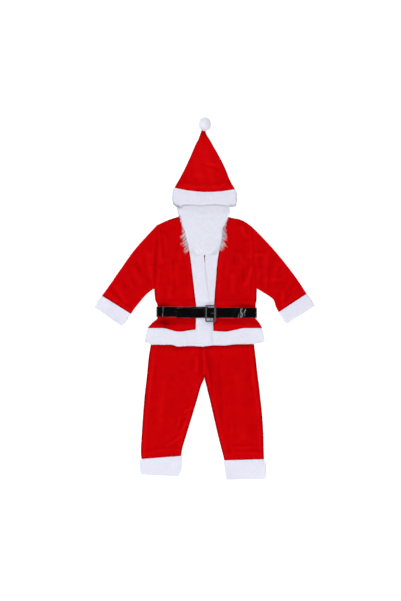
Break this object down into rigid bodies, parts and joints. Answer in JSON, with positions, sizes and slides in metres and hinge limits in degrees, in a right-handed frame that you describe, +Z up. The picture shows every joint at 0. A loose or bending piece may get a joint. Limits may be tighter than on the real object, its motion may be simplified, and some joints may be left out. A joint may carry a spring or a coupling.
{
  "type": "santa suit",
  "caption": "Child's Santa suit laid out flat: red velvet jacket, trousers and pointed hat with white plush trim, a white beard and a black belt with a metal buckle.",
  "frame": {"origin": "on the surface that the set lies on, at the middle of its bounding box", "axes": "+Z up from that surface, +Y towards the hat, +X towards the right of a person who looks at the front"},
  "size_m": [0.994, 1.6296, 0.0511],
  "materials": {
    "velvet": "red polyester velvet, short pile with a soft sheen",
    "plush": "white plush trim with a short dense pile",
    "beard_fur": "white long-haired fleece, combed downwards",
    "belt_vinyl": "black glossy vinyl, lightly creased",
    "buckle_metal": "bright plated metal"
  },
  "bodies": {
    "root": {"hat_back": "velvet", "hat_front": "velvet", "jacket_back": "velvet", "jacket_front_left": "velvet", "jacket_front_right": "velvet", "sleeve_left": "velvet", "sleeve_right": "velvet", "trouser_back_left": "velvet", "trouser_back_right": "velvet", "trouser_front_left": "velvet", "trouser_front_right": "velvet", "trouser_waistband": "velvet", "front_band_left": "plush", "front_band_right": "plush", "hat_brim": "plush", "hem_band_back": "plush", "hem_band_left": "plush", "hem_band_right": "plush", "pompom": "plush", "sleeve_cuff_left": "plush", "sleeve_cuff_right": "plush", "trouser_cuff_left": "plush", "trouser_cuff_right": "plush", "beard": "beard_fur", "beard_fringe_left": "beard_fur", "beard_fringe_right": "beard_fur", "belt_strap": "belt_vinyl", "buckle_frame": "buckle_metal", "buckle_prong": "buckle_metal"}
  },
  "joints": []
}
